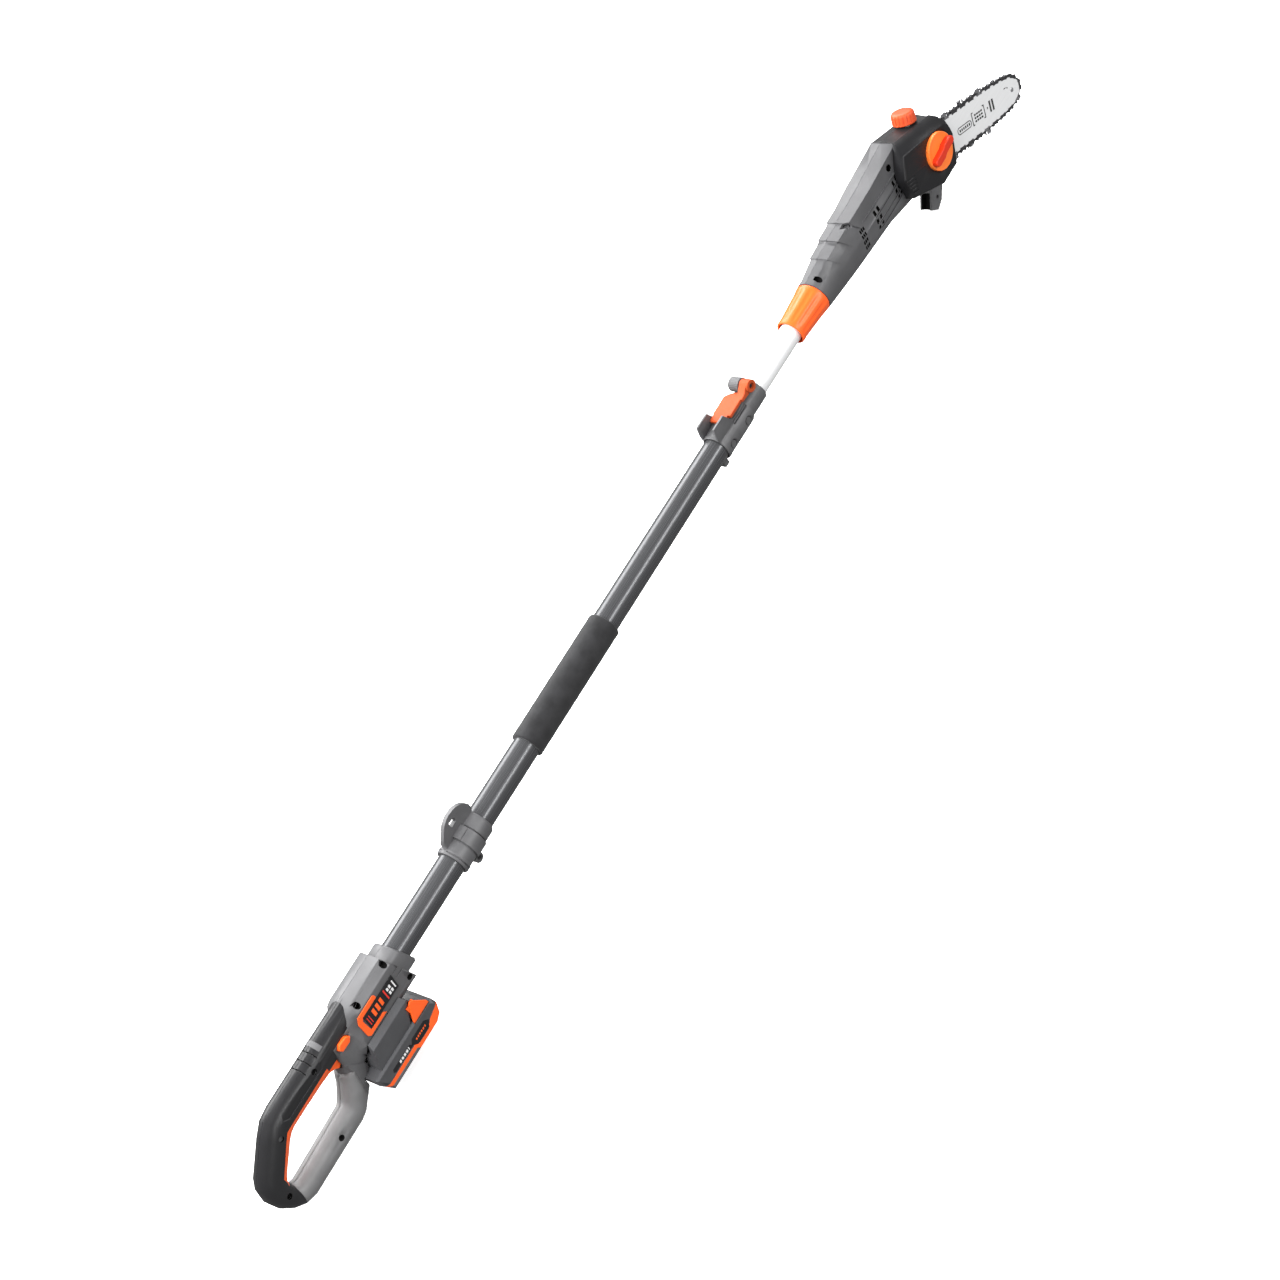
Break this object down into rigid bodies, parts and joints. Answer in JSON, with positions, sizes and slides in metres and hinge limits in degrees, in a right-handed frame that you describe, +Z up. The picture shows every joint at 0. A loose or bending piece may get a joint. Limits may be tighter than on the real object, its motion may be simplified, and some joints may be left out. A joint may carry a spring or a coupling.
{
  "type": "telescoping pole saw",
  "caption": "Battery pole saw: D handle with sliding battery pack, telescoping two-tube pole with cam clamp, and a motor head driving a chain round a guide bar.",
  "frame": {"origin": "on the ground plane under the middle of the tool's bounding box, at rest", "axes": "+X along the pole towards the cutting head, +Z up away from the battery, -Y the side of the guide bar and knob"},
  "size_m": [1.8272, 0.092, 0.1528],
  "materials": {
    "shell_grey": "fine moulded texture",
    "grip_black": "soft matt overmould",
    "orange_plastic": "satin moulded",
    "label_black": "printed film",
    "battery_grey": "fine moulded texture",
    "black_plastic": "fine moulded texture",
    "bracket_grey": "moulded, glass filled",
    "screw_steel": "blackened",
    "bright_steel": "ground",
    "chain_steel": "oiled",
    "bar_finish": "pale satin lacquer",
    "tube_grey": "dark grey anodised look",
    "tube_alloy": "drawn, clear",
    "foam": "closed cell foam",
    "cell_wrap": "shrink wrap",
    "tank_pale": "translucent"
  },
  "bodies": {
    "handle": {"handle_half_right": "shell_grey", "handle_half_left": "shell_grey", "grip_half_right": "grip_black", "grip_half_left": "grip_black", "grip_liner": "orange_plastic", "label_bezel": "orange_plastic", "label_plate": "label_black", "switch_body": "black_plastic", "terminal_block": "black_plastic", "handle_screw_1": "screw_steel", "handle_screw_2": "screw_steel", "handle_screw_3": "screw_steel", "trigger_spring": "bright_steel", "lock_spring": "bright_steel", "outer_tube": "tube_grey", "foam_grip": "foam", "strap_bracket": "bracket_grey", "strap_clamp_band": "bracket_grey", "strap_screw": "screw_steel", "latch_collar": "bracket_grey", "latch_barrel": "bracket_grey", "lever_pin": "bright_steel"},
    "trigger": {"trigger": "orange_plastic"},
    "lock_button": {"lock_button": "orange_plastic"},
    "battery": {"battery_upper_shell": "battery_grey", "battery_lower_shell": "battery_grey", "battery_band": "orange_plastic", "battery_cell_1": "cell_wrap", "battery_cell_2": "cell_wrap", "battery_cell_3": "cell_wrap", "battery_cell_4": "cell_wrap", "battery_cell_5": "cell_wrap"},
    "release_right": {"battery_button_right": "orange_plastic"},
    "release_left": {"battery_button_left": "orange_plastic"},
    "lever": {"cam_lever": "orange_plastic"},
    "head": {"inner_tube": "tube_alloy", "tube_bush": "black_plastic", "head_half_right": "shell_grey", "head_half_left": "shell_grey", "motor": "screw_steel", "oil_tank": "tank_pale", "oil_pump": "black_plastic", "sprocket_cover": "black_plastic", "bar_stud": "bright_steel", "guide_bar": "bar_finish", "nose_rivet": "bright_steel", "chain": "chain_steel", "branch_hook": "bracket_grey", "head_screw_1": "screw_steel", "head_screw_2": "screw_steel", "shaft_bearing_right": "bright_steel", "shaft_bearing_left": "bright_steel"},
    "collar": {"lock_collar": "orange_plastic"},
    "knob": {"cover_knob": "orange_plastic"},
    "cap": {"oil_cap": "orange_plastic"},
    "rotor": {"motor_pinion": "bright_steel"},
    "drive": {"drive_gear": "bright_steel", "sprocket_shaft": "bright_steel", "drive_sprocket": "screw_steel"},
    "nose_wheel": {"nose_sprocket": "screw_steel"}
  },
  "joints": [
    {"name": "pole_slide", "type": "slide", "parent": "handle", "child": "head", "axis": [1, 0, 0], "range_m": [-0.085, 0.55]},
    {"name": "trigger_pull", "type": "hinge", "parent": "handle", "child": "trigger", "pos_m": [-0.73807, 0.008, 0.10406], "axis": [0, 1, 0], "range_deg": [0, 7], "stiffness_Nm_per_rad": 1.2, "springref_deg": -4.58, "deforming": ["trigger_spring"]},
    {"name": "lock_press", "type": "slide", "parent": "handle", "child": "lock_button", "axis": [0, 1, 0], "range_m": [0, 0.004], "stiffness_N_per_m": 800, "springref_m": -0.002, "deforming": ["lock_spring"]},
    {"name": "battery_slide", "type": "slide", "parent": "handle", "child": "battery", "axis": [1, 0, 0], "range_m": [0, 0.125]},
    {"name": "release_press_right", "type": "slide", "parent": "battery", "child": "release_right", "axis": [0, 1, 0], "range_m": [0, 0.002], "stiffness_N_per_m": 1200, "springref_m": -0.002},
    {"name": "release_press_left", "type": "slide", "parent": "battery", "child": "release_left", "axis": [0, -1, 0], "range_m": [0, 0.002], "stiffness_N_per_m": 1200, "springref_m": -0.002},
    {"name": "lever_swing", "type": "hinge", "parent": "handle", "child": "lever", "pos_m": [0.25643, 0.008, 0.12786], "axis": [0, 1, 0], "range_deg": [0, 100]},
    {"name": "collar_turn", "type": "hinge", "parent": "head", "child": "collar", "pos_m": [0.39593, 0.008, 0.10106], "axis": [1, 0, 0], "range_deg": [0, 90]},
    {"name": "knob_turn", "type": "hinge", "parent": "head", "child": "knob", "pos_m": [0.70693, -0.034, 0.09076], "axis": [0, 1, 0], "continuous": true},
    {"name": "cap_turn", "type": "hinge", "parent": "head", "child": "cap", "pos_m": [0.71514, 0.008, 0.1261], "axis": [0.3453, 0, 0.9385], "continuous": true},
    {"name": "sprocket_spin", "type": "hinge", "parent": "head", "child": "drive", "pos_m": [0.66282, 0.008, 0.10699], "axis": [0, 1, 0], "continuous": true},
    {"name": "motor_spin", "type": "hinge", "parent": "head", "child": "rotor", "pos_m": [0.66282, 0.008, 0.10699], "axis": [1, 0, 0], "continuous": true},
    {"name": "nose_spin", "type": "hinge", "parent": "head", "child": "nose_wheel", "pos_m": [0.89041, -0.019, 0.02325], "axis": [0, 1, 0], "continuous": true}
  ],
  "couplings": [
    {"joint": "motor_spin", "follows": "sprocket_spin", "ratio": 3},
    {"joint": "nose_spin", "follows": "sprocket_spin", "ratio": 0.85714}
  ]
}
